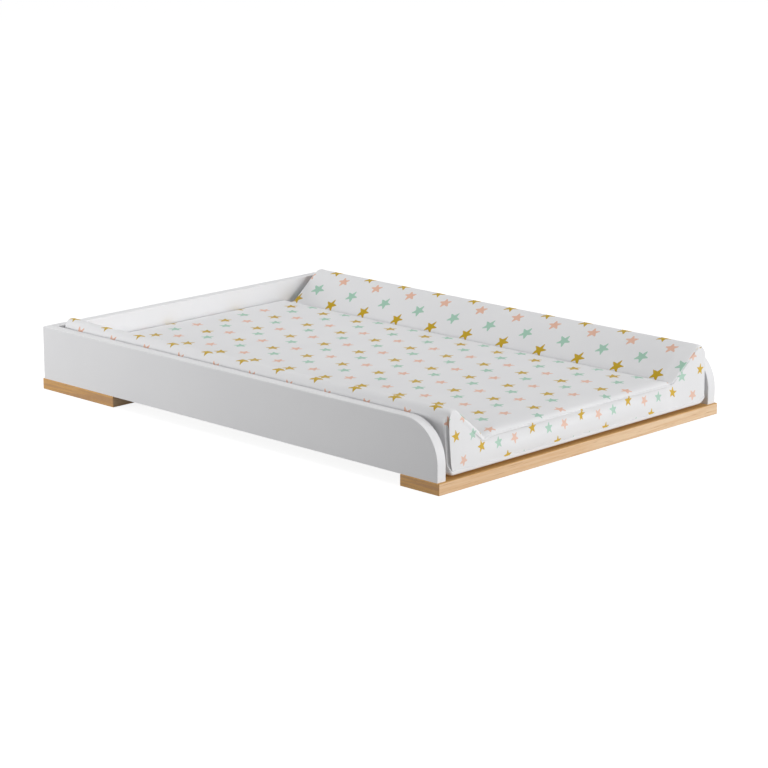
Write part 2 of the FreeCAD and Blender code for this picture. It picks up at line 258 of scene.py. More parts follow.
dress(whiteLacquer(), "left_side_panel", "right_side_panel", "rear_panel")
dress(whiteHardboard(), "base_panel")
dress(oak("oakAlongX", oakWood["alongX"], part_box("front_rail")[1]), "front_rail", "rear_rail")
dress(oak("oakAlongY", oakWood["alongY"]), "centre_slat")
dress(zincSteel(), "rail_screws", "base_nails", "cam_bolts", "cam_locks")
dress(dowelWood(), "panel_dowels", "slat_dowels")
dress(whitePlastic(), "cam_caps")
print("tray dressed")


# Film of the mat: a white wipe-clean sheet with small stars in three inks.
# The stars stand in rows with every other row moved along by half a repeat.
starPrint = {
    "repeat": 0.1396, "row": 0.0362, "shift": 0.0698, "tip": 0.0126, "notch": 0.0052, "wobble": 0.0022,
    "wobbleScale": 190.0, "edge": 0.0003, "sway": 0.12, "wedgeSize": 1.03, "endSize": 0.95, "beadSize": 0.8,
    # Lying is the size on the flat and on the left ridge. The end pieces carry paler ink, and the last
    # column before the right crease is mint.
    "inks": [
        {"place": (0.0110, 0.0408), "turn": 0.82, "leftTurn": 0.99, "blunt": 0.0112, "lying": 0.98,
         "colour": linear(198, 162, 8), "pale": linear(216, 178, 66)},
        {"place": (0.0570, 0.0489), "turn": 0.92, "leftTurn": 0.92, "blunt": 0.0108, "lying": 0.93,
         "colour": linear(166, 206, 186), "pale": linear(182, 215, 198), "until": 0.185},
        {"place": (0.1012, 0.0490), "turn": 0.32, "leftTurn": 0.05, "blunt": 0.0104, "lying": 0.90,
         "colour": linear(234, 187, 164), "pale": linear(238, 200, 182), "until": 0.158},
        {"place": (0.1012, 0.0490), "turn": 0.92, "leftTurn": 0.92, "blunt": 0.0108, "lying": 0.93,
         "colour": linear(166, 206, 186), "pale": linear(182, 215, 198), "after": 0.158},
    ],
}


def starMask(tree, point, ink, turn, size):
    # Each point is folded into the cell of its nearest star, then into half an arm of that star,
    # where the star's edge is one straight line from the arm's tip to the notch beside it.
    parts = tree.nodes.new("ShaderNodeSeparateXYZ")
    tree.links.new(point, parts.inputs[0])
    across = calc(tree, "SUBTRACT", parts.outputs["X"], ink["place"][0])
    along = calc(tree, "SUBTRACT", parts.outputs["Y"], ink["place"][1])
    row = calc(tree, "ROUND", calc(tree, "DIVIDE", along, starPrint["row"]))
    y = calc(tree, "SUBTRACT", along, calc(tree, "MULTIPLY", row, starPrint["row"]))
    moved = calc(tree, "SUBTRACT", across, calc(tree, "MULTIPLY", row, starPrint["shift"]))
    column = calc(tree, "ROUND", calc(tree, "DIVIDE", moved, starPrint["repeat"]))
    x = calc(tree, "SUBTRACT", moved, calc(tree, "MULTIPLY", column, starPrint["repeat"]))
    cell = tree.nodes.new("ShaderNodeCombineXYZ")
    tree.links.new(row, cell.inputs["X"])
    tree.links.new(column, cell.inputs["Y"])
    chance = tree.nodes.new("ShaderNodeTexWhiteNoise")
    chance.noise_dimensions = "2D"
    tree.links.new(cell.outputs[0], chance.inputs["Vector"])
    sway = calc(tree, "MULTIPLY", calc(tree, "SUBTRACT", chance.outputs["Value"], 0.5), starPrint["sway"])
    angle = calc(tree, "SUBTRACT", calc(tree, "ARCTAN2", y, x), calc(tree, "ADD", sway, turn))
    squares = calc(tree, "ADD", calc(tree, "MULTIPLY", x, x), calc(tree, "MULTIPLY", y, y))
    radius = calc(tree, "SQRT", squares)
    wobble = calc(tree, "SUBTRACT", noise(tree, point, starPrint["wobbleScale"], 1.0), 0.5)
    radius = calc(tree, "ADD", radius, calc(tree, "MULTIPLY", wobble, starPrint["wobble"]))
    half, tip = math.pi / 5, starPrint["tip"] * size
    fold = calc(tree, "PINGPONG", angle, half)
    notch = np.array([math.cos(half), math.sin(half)]) * starPrint["notch"] * size
    side = notch - np.array([tip, 0.0])
    lean = math.atan2(-side[0], side[1])
    reach = tip * math.cos(lean)
    edge = calc(tree, "MULTIPLY", radius, calc(tree, "COSINE", calc(tree, "SUBTRACT", fold, lean)))
    outside = calc(tree, "MAXIMUM", calc(tree, "SUBTRACT", edge, reach),
                   calc(tree, "SUBTRACT", radius, ink["blunt"] * size))
    mask = smoothStep(tree, outside, -starPrint["edge"], starPrint["edge"], 1.0, 0.0)
    if "until" in ink:
        mask = calc(tree, "MULTIPLY", mask, calc(tree, "LESS_THAN", parts.outputs["X"], ink["until"]))
    if "after" in ink:
        mask = calc(tree, "MULTIPLY", mask, calc(tree, "GREATER_THAN", parts.outputs["X"], ink["after"]))
    return mask


film = {"white": linear(240, 240, 241), "shade": linear(235, 235, 237), "cloud": 14.0, "emboss": 1300.0,
        "embossDepth": 0.00005, "crinkle": 38.0, "crinkleDepth": 0.0006, "crinkleShare": 0.35,
        "gloss": 0.42, "glossSpread": 0.1, "shine": 0.25}


def filmColour(tree, point):
    return mixColour(tree, noise(tree, point, film["cloud"], 3.0), film["white"], film["shade"])


def filmSurface(tree, shader, colour, point):
    cloud = noise(tree, point, film["cloud"], 3.0)
    crinkle = noise(tree, point, film["crinkle"], 2.0, 0.4)
    under = bump(tree, crinkle, film["crinkleDepth"], film["crinkleShare"])
    feed(tree, shader.inputs["Normal"],
         bump(tree, noise(tree, point, film["emboss"], 2.0), film["embossDepth"], 1.0, under))
    unevenGloss(tree, shader, cloud, film, 0.25, 0.75)
    feed(tree, shader.inputs["Base Color"], colour)
    shader.inputs["Specular IOR Level"].default_value = film["shine"]


def printedFilm(name, size=None, tint="colour", turn="turn", firstInk=0):
    material, tree, shader = newMaterial(name)
    point = objectPoint(tree)
    uv = uvPoint(tree, "print")
    colour = filmColour(tree, point)
    for ink in starPrint["inks"][firstInk:]:
        mask = starMask(tree, uv, ink, ink[turn], size or ink["lying"])
        colour = mixColour(tree, mask, colour, ink[tint])
    filmSurface(tree, shader, colour, point)
    return material


def plainFilm():
    material, tree, shader = newMaterial("plainFilm")
    point = objectPoint(tree)
    filmSurface(tree, shader, filmColour(tree, point), point)
    return material


filmPrinted = printedFilm("printedFilm")
filmEnds = printedFilm("printedFilmEnds", starPrint["endSize"], "pale")
filmLeft = printedFilm("printedFilmLeft", turn="leftTurn")
filmRight = printedFilm("printedFilmRight", starPrint["wedgeSize"])
filmBead = printedFilm("printedFilmBead", starPrint["beadSize"], firstInk=1)  # no gold star falls on it
filmPlain = plainFilm()
print("film ready")


# The mat's form, worked out inside the box of its solids
coverNodes = ["mat_top_cover", "mat_front_end", "mat_rear_end", "mat_base_sheet"]
matLow = np.min([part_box(n)[0] for n in coverNodes], axis=0)
matHigh = np.max([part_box(n)[1] for n in coverNodes], axis=0)
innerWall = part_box("right_side_panel")[0][0]

mat = {
    "sheet": 0.0008,  # room under the cushion for the base sheet
    "sideDraw": 0.003, "sideClear": 0.003, "bellyFrom": 0.008, "bellyOver": 0.025, "bellyLevel": 0.6,
    "bellyRise": 0.3, "wedge": 0.075, "creaseHeight": 0.0415, "creaseDrop": 0.0025, "creaseFrom": 0.012,
    "creaseOver": 0.025, "shoulder": 0.025, "shoulderRise": 0.005, "ridgeRadius": 0.015, "foot": 0.005,
    "crowd": 1.5,  # the power by which points crowd towards the crease
    "printMiddle": -0.004, "seamSharp": 0.6,
    "ridgeSteps": 6, "slopeSteps": 10, "shoulderSteps": 5, "flatSteps": 20, "footSteps": 3, "wallSteps": 9,
    "shoulderArcSteps": 3, "bodyStart": 0.019, "bodyStep": 0.0082, "ringCount": 10, "seamStep": 3,
    "beadStep": 5,
}
topSteps = 2 * (mat["ridgeSteps"] + mat["slopeSteps"] + mat["shoulderSteps"] + mat["flatSteps"])
sideSteps = mat["footSteps"] + mat["wallSteps"] + mat["shoulderArcSteps"]
rightStart, topStart, leftStart = topSteps, topSteps + sideSteps, 2 * topSteps + sideSteps
loopCount = 2 * topSteps + 2 * sideSteps
flatFirst = topStart + mat["ridgeSteps"] + mat["slopeSteps"]
flatLast = leftStart - mat["ridgeSteps"] - mat["slopeSteps"]
weldRight, weldLeft = rightStart + mat["footSteps"], loopCount - mat["footSteps"]
seamStep, ringCount = mat["seamStep"], mat["ringCount"]


def steps(count):  # evenly spaced shares from 0 on, without the last
    return np.arange(count) / count


def ease(value):  # 0 to 1 with soft ends
    t = np.clip(value, 0, 1)
    return t * t * (3 - 2 * t)


def sectionLoops(y):
    # The outline across the mat at places along Y, as a closed loop of points: along the floor from
    # left to right, up the right side, over the top from right to left and down the left side.
    # Above the foot the sides belly out until they nearly touch the tray's panels.
    share = (y - matLow[1]) / (matHigh[1] - matLow[1])
    half = (matHigh[0] - mat["sideDraw"] * 4 * share * (1 - share))[:, None]
    floor, crease = matLow[2] + mat["sheet"], matLow[2] + mat["creaseHeight"]
    ridge, foot = mat["ridgeRadius"], mat["foot"]
    ridgeX, ridgeZ = half - ridge, matHigh[2] - ridge
    creaseX = half - mat["wedge"]
    run, rise = ridgeX - creaseX, ridgeZ - crease
    slope = np.arctan2(rise, run) + np.arcsin(ridge / np.hypot(run, rise))
    eighth = math.pi / 4
    fromEnd = np.minimum(y - matLow[1], matHigh[1] - y)[:, None]
    full = ease((fromEnd - mat["bellyFrom"]) / mat["bellyOver"])

    def bulge(angle):  # how far a ridge swells sideways at an angle from the level, most a little above it
        level = mat["bellyLevel"]
        out = (innerWall - mat["sideClear"] - half) * (level + (1 - level) * ease(angle / mat["bellyRise"]))
        return full * out * ease(1 - angle / (2 * eighth))

    arc = eighth + steps(mat["ridgeSteps"]) * (eighth + slope)
    topX, topZ = ridgeX - ridge * np.sin(slope), ridgeZ + ridge * np.cos(slope)
    down = 1 - (1 - steps(mat["slopeSteps"])) ** mat["crowd"]
    over = steps(mat["shoulderSteps"]) ** mat["crowd"]
    groove = mat["creaseDrop"] * ease((fromEnd - mat["creaseFrom"]) / mat["creaseOver"]) * (over == 0)
    edge = creaseX - mat["shoulder"]
    flatX = edge * (1 - np.arange(mat["flatSteps"] + 1) / mat["flatSteps"])
    overX = np.hstack([ridgeX + ridge * np.cos(arc) + bulge(arc), topX + (creaseX - topX) * down,
                       creaseX - mat["shoulder"] * over, flatX])  # right half of the top, outside in
    overZ = np.hstack([ridgeZ + ridge * np.sin(arc), topZ + (crease - topZ) * down,
                       crease + mat["shoulderRise"] * (1 - (1 - over) ** 3) - groove,
                       crease + mat["shoulderRise"] + 0 * flatX])

    bend = 3  # points of the foot's round
    turn = eighth + eighth * np.arange(bend) / (bend - 1)
    inner = overX[:, bend:] / overX[:, bend - 1:bend]
    underX = np.hstack([half - foot + foot * np.cos(turn), inner * (half - foot)])
    underZ = np.hstack([floor + foot - foot * np.sin(turn) + 0 * half, floor + 0 * inner])

    def skew(x):  # one column of points is moved onto the print's own middle line
        return x + mat["printMiddle"] * np.clip(1 - np.abs(x) / edge, 0, 1)

    low, high = -eighth + eighth * steps(mat["footSteps"]), eighth * steps(mat["shoulderArcSteps"])
    wall = steps(mat["wallSteps"]) + 0 * half
    sideX = np.hstack([half - foot + foot * np.cos(low), half + bulge(0.0) * ease(wall),
                       ridgeX + ridge * np.cos(high) + bulge(high)])
    sideZ = np.hstack([floor + foot + foot * np.sin(low) + 0 * half,
                       floor + foot + (ridgeZ - floor - foot) * wall,
                       ridgeZ + ridge * np.sin(high) + 0 * half])

    topFull = np.hstack([skew(overX), skew(-overX[:, -2::-1])])
    topFullZ = np.hstack([overZ, overZ[:, -2::-1]])
    lowFull = np.hstack([skew(-underX), skew(underX[:, -2::-1])])
    lowFullZ = np.hstack([underZ, underZ[:, -2::-1]])
    leftX = np.hstack([topFull[:, -1:], -sideX[:, :0:-1]])
    leftZ = np.hstack([topFullZ[:, -1:], sideZ[:, :0:-1]])
    x = np.hstack([lowFull[:, :-1], sideX, topFull[:, :-1], leftX])
    z = np.hstack([lowFullZ[:, :-1], sideZ, topFullZ[:, :-1], leftZ])
    return x, z


# How the outline turns into an end face. Each profile gives, in millimetres for the rings from the face's
# rim over the seam to the full outline, how far a ring is set in from the outline, and then how far back
# it lies.
seamProfiles = {
    "floor": ([4, 3.6, 3.3, 3, 2.8, 2.6, 1.6, 0.76, 0.2, 0],
              [0, 0, 0, 0, 0, 0, 0.23, 0.88, 1.85, 3]),
    "edge": ([6.5, 4.6, 4.1, 3.7, 3.2, 2.8, 1.7, 0.8, 0.2, 0],
             [0, 0.02, 0.2, 0.3, 0.2, 0, 0.25, 0.9, 2, 3.2]),
    "face": ([8.7, 6.5, 6.1, 5.5, 5, 4.4, 3, 1.6, 0.5, 0],
             [0, 0.05, 0.3, 1.1, 0.4, 0.2, 0.9, 2.8, 6.2, 11.5]),
    "notch": ([7, 5.2, 4.5, 4, 3.5, 3.1, 2.3, 1.3, 0.45, 0],
              [3.4, 4.1, 4.8, 5.9, 5.4, 5.2, 6, 7.6, 10.4, 15]),
    "corner": ([8.5, 5.6, 4.4, 3.6, 3, 2.6, 1.9, 1.1, 0.4, 0],
               [1, 1.8, 2.4, 3, 3.4, 3.8, 4.8, 6.4, 9.4, 13.5]),
    "soft": ([8.5, 6, 4.2, 2.8, 2, 1.4, 0.9, 0.5, 0.2, 0],
             [0, 0.1, 0.5, 1.2, 1.8, 2.4, 3.2, 4.2, 5.5, 7]),
    "round": ([5, 3.5, 2.6, 1.8, 1.3, 0.9, 0.6, 0.35, 0.15, 0],
              [0, 0.2, 0.6, 1.2, 1.8, 2.5, 3.3, 4.3, 5.5, 7]),
    "ridge": ([8.5, 6.5, 6.2, 5.7, 5, 4.5, 2.8, 1.3, 0.34, 0],
              [0, 0.03, 0.3, 0.5, 0.3, 0, 0.53, 2.05, 4.3, 7]),
    "slope": ([7.5, 5.6, 4.9, 4.1, 3.1, 2.6, 2, 1.2, 0.4, 0],
              [0.5, 0.6, 1, 3.9, 2.2, 0.6, 1.2, 3.4, 8, 16]),
    "foot": ([7.6, 5.6, 4.9, 4.1, 3.1, 2.6, 2, 1.2, 0.4, 0],
             [2, 2.2, 2.6, 4.6, 3.6, 2.4, 3, 5.2, 10, 17]),
    "side": ([3, 1.2, 0.5, 9, 0.6, -1, -1.7, -1.1, -0.4, 0],
             [0, 0.15, 0.9, 2.4, 4.6, 5, 5.8, 7.2, 9, 11.5]),
    "rear": ([8.7, 6.5, 5.2, 4.2, 3.4, 2.7, 1.7, 0.85, 0.25, 0],
             [-3.4, -3.7, -3.8, -3.8, -3.7, -3.4, -2.7, -1.6, -0.3, 1.2]),
    "rearSlope": ([8.7, 6.5, 5.2, 4.2, 3.4, 2.7, 1.7, 0.85, 0.25, 0],
                  [3.2, 3.3, 3.4, 3.6, 3.8, 4.2, 5, 6.8, 9.6, 14]),
    "rearRidge": ([8.5, 5.5, 3.8, 2.4, 1.2, 0.2, -0.7, -1.1, -0.7, 0],
                  [3.2, 3.3, 3.5, 3.8, 4.2, 4.8, 6.2, 8.6, 12, 17]),
}
slopeFirst, slopeLast = topStart + mat["ridgeSteps"], leftStart - mat["ridgeSteps"]
frontTurn = [  # which profile holds at which point of the outline
    (0, "floor"), (weldRight, "floor"), (weldRight + 1, "edge"), (topStart - mat["shoulderArcSteps"], "edge"),
    (topStart, "ridge"), (slopeFirst, "slope"), (flatFirst - 3, "foot"), (flatFirst, "notch"),
    (flatFirst + 3, "face"), (flatLast - 3, "face"), (flatLast, "corner"), (flatLast + 3, "soft"),
    (slopeLast, "soft"), (slopeLast + 2, "round"), (leftStart, "round"),
    (leftStart + mat["shoulderArcSteps"] + 1, "side"), (weldLeft - 1, "side"), (weldLeft, "floor"),
    (loopCount, "floor"),
]
rearTurn = [
    (0, "floor"), (weldRight, "floor"), (weldRight + 1, "edge"), (topStart, "rearRidge"),
    (slopeFirst, "rearSlope"), (flatFirst - 2, "rearSlope"), (flatFirst + 2, "rear"), (flatLast, "rear"),
    (leftStart, "ridge"), (weldLeft - 1, "edge"), (weldLeft, "floor"), (loopCount, "floor"),
]


def endRings(turns, y, inward):
    # Rings from the face's rim over the seam to the full outline: each is the outline, drawn in along its
    # own normals by the profiles, which blend from place to place round the outline
    at = [place for place, name in turns]
    sizes = np.array([seamProfiles[name] for place, name in turns]) / 1000  # place, inset or back, ring
    loop = np.arange(loopCount)
    inset, back = [np.stack([np.interp(loop, at, sizes[:, kind, ring]) for ring in range(ringCount)])
                   for kind in (0, 1)]
    x, z = sectionLoops(np.array([y]))
    dx, dz = np.roll(x, -1, 1) - np.roll(x, 1, 1), np.roll(z, -1, 1) - np.roll(z, 1, 1)
    size = np.hypot(dx, dz)
    return np.stack([x - inset * dz / size, y + inward * back, z + inset * dx / size], -1)


def tubeGrid():
    first, last = matLow[1] + mat["bodyStart"], matHigh[1] - mat["bodyStart"]
    y = np.linspace(first, last, round((last - first) / mat["bodyStep"]) + 1)
    x, z = sectionLoops(y)
    body = np.stack([x, np.repeat(y[:, None], loopCount, 1), z], -1)
    return np.concatenate([endRings(frontTurn, matLow[1], 1), body, endRings(rearTurn, matHigh[1], -1)[::-1]])


settling = {
    "low": 0.03, "sag": 0.0022, "sagFront": 0.25, "sagRear": 0.08, "sagIn": 0.05, "sagUp": 0.05,
    "lean": 0.003, "leanOut": 0.012, "leanFrom": -0.150, "leanIn": 0.035, "leanUp": 0.025,
    "tuck": 0.0015, "tuckTop": 0.100, "tuckOver": 0.02, "tuckDeep": 0.038, "tuckFade": 0.032,
    "tuckFrom": -0.2, "tuckIn": 0.05, "footTuck": 0.004, "footTop": 0.085, "footOver": 0.065,
}


def settled(points):
    # The left wedge leans outward a little and sinks between its ends, and its front foot is tucked in
    x, y, z = np.moveaxis(points, -1, 0)
    above = z - settling["low"]
    sink = ease((y - matLow[1]) / settling["sagFront"]) * ease((matHigh[1] - y) / settling["sagRear"])
    sink = sink * ease((-x - matHigh[0] + mat["wedge"]) / settling["sagIn"]) * ease(above / settling["sagUp"])
    lean = ease((x + matHigh[0]) / settling["leanOut"])
    lean = lean * ease((settling["leanFrom"] - x) / settling["leanIn"]) * ease(above / settling["leanUp"])
    tuck = settling["tuck"] * ease((settling["tuckTop"] - z) / settling["tuckOver"])
    tuck = tuck + settling["footTuck"] * ease((settling["footTop"] - z) / settling["footOver"])
    tuck = tuck * ease((matLow[1] + settling["tuckDeep"] - y) / settling["tuckFade"])
    tuck = tuck * ease((settling["tuckFrom"] - x) / settling["tuckIn"])
    return np.stack([x - settling["lean"] * lean + tuck, y, z - settling["sag"] * sink], -1)


tubePoints = settled(tubeGrid())
stationCount = len(tubePoints)
print("mat outline:", stationCount, "stations of", loopCount, "points")


def capGrid(station):
    # One end of the mat between its rim's four sides: each point is carried from the floor to the
    # weld line and from there to the top, and evenly between the two sides.
    rim = tubePoints[station]
    low, right = rim[:rightStart + 1], rim[rightStart:topStart + 1]
    top = rim[topStart:leftStart + 1][::-1]
    left = rim[np.r_[leftStart:loopCount, 0]][::-1]
    weld = mat["footSteps"]
    share = ((low[:, 0] - low[0, 0]) / (low[-1, 0] - low[0, 0]))[:, None]
    seam = left[weld] + (right[weld] - left[weld]) * share
    return np.concatenate([coons(low, seam, left[:weld + 1], right[:weld + 1], share)[:, :-1],
                           coons(seam, top, left[weld:], right[weld:], share)], axis=1)


def coons(low, high, left, right, share):
    # Blends the two pairs of opposite sides and takes away the blend of the four corners
    u = share[:, None, :]
    v = (np.arange(len(left)) / (len(left) - 1))[None, :, None]
    ends = (1 - v) * low[:, None] + v * high[:, None]
    sides = (1 - u) * left[None] + u * right[None]
    corners = (1 - u) * ((1 - v) * low[0] + v * high[0]) + u * ((1 - v) * low[-1] + v * high[-1])
    return ends + sides - corners


def tubeFaces():
    j, k = np.meshgrid(np.arange(stationCount - 1), np.arange(loopCount), indexing="ij")
    after = (k + 1) % loopCount
    quads = np.stack([j * loopCount + k, (j + 1) * loopCount + k,
                      (j + 1) * loopCount + after, j * loopCount + after], -1)
    return quads.reshape(-1, 4), j.ravel(), k.ravel()


def capIndex(station, start):
    # Point numbers of an end's grid: its rim belongs to the outline, its inside comes after
    index = np.empty((topSteps + 1, sideSteps + 1), int)
    base = station * loopCount
    index[:, 0] = base + np.arange(rightStart + 1)
    index[-1, :] = base + np.arange(rightStart, topStart + 1)
    index[::-1, -1] = base + np.arange(topStart, leftStart + 1)
    index[0, ::-1] = base + np.r_[leftStart:loopCount, 0]
    inner = (topSteps - 1) * (sideSteps - 1)
    index[1:-1, 1:-1] = start + np.arange(inner).reshape(topSteps - 1, sideSteps - 1)
    return index


def capFaces(index, outward):
    quads = np.stack([index[:-1, :-1], index[1:, :-1], index[1:, 1:], index[:-1, 1:]], -1)
    return (quads if outward else quads[..., ::-1]).reshape(-1, 4)


def buildShell():
    points, caps, start = [tubePoints.reshape(-1, 3)], [], stationCount * loopCount
    for station in (0, stationCount - 1):
        points.append(capGrid(station)[1:-1, 1:-1].reshape(-1, 3))
        caps.append(capIndex(station, start))
        start += len(points[-1])
    return np.concatenate(points), caps


shellPoints, shellCaps = buildShell()
tubeQuads, tubeStation, tubeLoop = tubeFaces()
frontQuads = capFaces(shellCaps[0], True)
rearQuads = capFaces(shellCaps[1], False)
shellQuads = np.concatenate([tubeQuads, frontQuads, rearQuads])
print("mat shell:", len(shellPoints), "points,", len(shellQuads), "faces")


def fillMesh(mesh, points, quads):
    mesh.vertices.add(len(points))
    mesh.vertices.foreach_set("co", np.asarray(points, np.float32).ravel())
    mesh.loops.add(quads.size)
    mesh.loops.foreach_set("vertex_index", np.asarray(quads, np.int32).ravel())
    mesh.polygons.add(len(quads))
    width = quads.shape[1]
    mesh.polygons.foreach_set("loop_start", np.arange(0, quads.size, width, dtype=np.int32))
    mesh.polygons.foreach_set("loop_total", np.full(len(quads), width, np.int32))
    mesh.update(calc_edges=True)
    mesh.polygons.foreach_set("use_smooth", np.ones(len(quads), bool))
    return mesh


def newPiece(name, points, quads, *materials):
    mesh = fillMesh(bpy.data.meshes.new(name), points, quads)
    piece = bpy.data.objects.new(name, mesh)
    scene.collection.objects.link(piece)
    for material in materials:
        mesh.materials.append(material)
    return piece


flatSheet, rightSheet, leftSheet, lowSheet, endSheet = range(5)  # kinds of sheet that a face can belong to


def faceSheets():
    sheet = np.full(len(tubeQuads), lowSheet)
    sheet[(tubeLoop >= weldRight) & (tubeLoop < flatFirst)] = rightSheet
    sheet[(tubeLoop >= flatFirst) & (tubeLoop < flatLast)] = flatSheet
    sheet[(tubeLoop >= flatLast) & (tubeLoop < weldLeft)] = leftSheet
    atEnd = (tubeStation < seamStep) | (tubeStation >= stationCount - 1 - seamStep)
    sheet[atEnd & (sheet != lowSheet)] = endSheet
    rows = np.tile(np.arange(sideSteps), topSteps)
    cap = np.where(rows < mat["footSteps"], lowSheet, endSheet)
    return np.concatenate([sheet, cap, cap])


shellSheet = faceSheets()


cushionFilms = [filmPrinted, filmEnds, filmLeft, filmBead, filmRight]


def faceFilms():
    # Number of the film that each face shows, where the flat's front bead has its own
    bead = np.zeros(len(shellSheet), bool)
    bead[:len(tubeQuads)] = tubeStation < ringCount
    kinds = [(filmEnds, shellSheet == endSheet), (filmBead, bead & (shellSheet == flatSheet)),
             (filmLeft, shellSheet == leftSheet), (filmRight, shellSheet == rightSheet)]
    numbers = [cushionFilms.index(shown) for shown, faces in kinds]
    return np.select([faces for shown, faces in kinds], numbers, cushionFilms.index(filmPrinted))


# Where the print lies on each kind of sheet, in metres of the film
flatPrint = {"slack": 0.0060, "slackFront": 0.20, "slackRear": 0.25, "rear": 0.0115, "rearFrom": 0.030,
             "rearOver": 0.020}


def flatPlaces(x, v, y):
    # The film lies a little slack between its ends and is drawn over the rear edge
    slack = flatPrint["slack"] * ease((y - matLow[1]) / flatPrint["slackFront"])
    slack = slack * ease((matHigh[1] - y) / flatPrint["slackRear"])
    rear = flatPrint["rear"] * ease((flatPrint["rearFrom"] - (matHigh[1] - y)) / flatPrint["rearOver"])
    return np.stack([x + slack, v + slack - rear], -1)


rightPrint = {"crease": 0.0920, "end": -0.001, "along": 0.0065, "top": 0.0035, "topFrom": 0.055,
              "topOver": 0.015, "skew": 0.10, "skewAbout": 0.0097, "skewFrom": 0.30, "skewOver": 0.35,
              "back": 0.003, "backFrom": -0.2, "backOver": 0.19, "rear": 0.006, "rearFrom": 0.07,
              "rearOver": 0.05}


def rightPlaces(up, v, y):
    # From the crease up the right wedge, where the rows lie askew, then plain film down the side
    up = up + rightPrint["top"] * ease((up - rightPrint["topFrom"]) / rightPrint["topOver"])
    askew = ease((rightPrint["skewFrom"] - y) / rightPrint["skewOver"])
    skew = rightPrint["skew"] * (up - rightPrint["skewAbout"]) * askew
    skew = skew - rightPrint["back"] * ease((rightPrint["backFrom"] - y) / rightPrint["backOver"])
    rear = rightPrint["rear"] * ease((rightPrint["rearFrom"] - (matHigh[1] - y)) / rightPrint["rearOver"])
    across = np.maximum(rightPrint["crease"] - up, rightPrint["end"])
    return np.stack([across, v + rightPrint["along"] + skew - rear], -1)


leftPrint = {"gold": -0.0112, "peach": 0.0131, "peachReach": 0.0085, "end": 0.1142, "along": 0.0025,
             "drift": 0.0050, "driftPower": 1.6, "rise": 0.0022, "riseFrom": -0.1, "riseOver": 0.45,
             "peachAlong": 0.004, "peachFrom": 0.3, "peachOver": 0.4}


def leftPlaces(down, v, y):
    # From the ridge down the left side: the row of gold stars, the row of peach ones, then plain film.
    # Both rows climb a little towards the rear, and the peach row lies a little further to the front.
    goldInk, peachInk = starPrint["inks"][0], starPrint["inks"][2]
    goldRow, peachRow = goldInk["place"][0] + starPrint["shift"], peachInk["place"][0]
    reach, peachReach = goldInk["blunt"], leftPrint["peachReach"]
    down = down + leftPrint["rise"] * ease((y - leftPrint["riseFrom"]) / leftPrint["riseOver"])
    goldEnd, peachStart = leftPrint["gold"] + reach, leftPrint["peach"] - peachReach
    at = [goldEnd - 1, goldEnd, peachStart, leftPrint["peach"] + leftPrint["end"] - peachRow]
    places = [goldRow + reach - 1, goldRow + reach, peachRow - peachReach, leftPrint["end"]]
    drift = leftPrint["drift"] * np.clip(y / matLow[1], 0, 1) ** leftPrint["driftPower"]
    onPeach = ease((down - goldEnd) / (peachStart - goldEnd))
    fore = ease((leftPrint["peachFrom"] - y) / leftPrint["peachOver"])
    drift = drift + leftPrint["peachAlong"] * onPeach * fore
    return np.stack([np.interp(down, at, places), v + leftPrint["along"] + drift], -1)


endPrint = {"middle": 0.1506, "level": 0.0408, "height": 0.054, "wide": 0.71, "tall": 0.79, "drop": 0.012,
            "dropFrom": 0.150, "dropOver": 0.100, "widen": 0.009, "widenFrom": 0.195, "widenOver": 0.060}


def endPlaces(x, y, z):
    # The ends carry the print smaller and drawn down towards their outer sides, on the right a little wider
    out = np.abs(x - mat["printMiddle"])
    out = out - endPrint["widen"] * (x > 0) * ease((out - endPrint["widenFrom"]) / endPrint["widenOver"])
    back = np.minimum(y - matLow[1], matHigh[1] - y)
    drop = endPrint["drop"] * ease((out - endPrint["dropFrom"]) / endPrint["dropOver"])
    level = z + back + drop - endPrint["height"]
    return np.stack([endPrint["middle"] - out / endPrint["wide"],
                     endPrint["level"] - level / endPrint["tall"]], -1)


def printPlaces():
    # Print coordinates of every point for each kind of sheet, in the order of the sheets' numbers:
    # measured along the film from the middle of its length, and round the outline of its middle
    middle = tubePoints[stationCount // 2]
    around = np.concatenate([[0.0], np.cumsum(np.linalg.norm(np.diff(middle, axis=0), axis=1))])
    gap = np.linalg.norm(np.diff(tubePoints, axis=0), axis=2)
    along = np.vstack([np.zeros(loopCount), np.cumsum(gap, axis=0)])
    along += middle[:, 1] - along[stationCount // 2]
    rest = np.zeros(len(shellPoints) - along.size)
    v = np.concatenate([along.ravel(), rest])
    turn = np.concatenate([np.tile(around, stationCount), rest])
    x, y, z = shellPoints.T
    flat = flatPlaces(x, v, y)
    right = rightPlaces(around[flatFirst] - turn, v, y)
    left = leftPlaces(turn - around[leftStart], v, y)
    return np.stack([flat, right, left, flat, endPlaces(x, y, z)])


def paintPrint(mesh):
    places = printPlaces()
    uv = places[shellSheet[:, None], shellQuads]
    layer = mesh.uv_layers.new(name="print")
    layer.data.foreach_set("uv", uv.astype(np.float32).ravel())


# Blender's cloth, blown up from inside: the welds stay and the film between them swells
swelling = {
    "frames": 20, "pressure": 4.0, "stiff": 12.0, "bend": 2.0, "mass": 0.25,
    # How far each place may swell, and over how many rows an end's swelling fades below its seam
    "flat": 0.0008, "slope": 0.0018, "ridge": 0.0004, "wall": 0.0005, "bead": 0.0004, "end": 0.0014,
    "endFade": 3,
}


def weldedPoints():
    station, loop = np.divmod(np.arange(stationCount * loopCount), loopCount)
    fromEnd = np.minimum(station, stationCount - 1 - station)
    atSeam = (fromEnd > 0) & (fromEnd < mat["beadStep"])
    atCrease = (loop == flatFirst) | (loop == flatLast)
    below = (loop <= weldRight) | (loop >= weldLeft)
    held = np.zeros(len(shellPoints), bool)
    held[:len(station)] = atSeam | atCrease | below
    for index in shellCaps:
        held[index[:, :mat["footSteps"] + 1]] = True
    return held


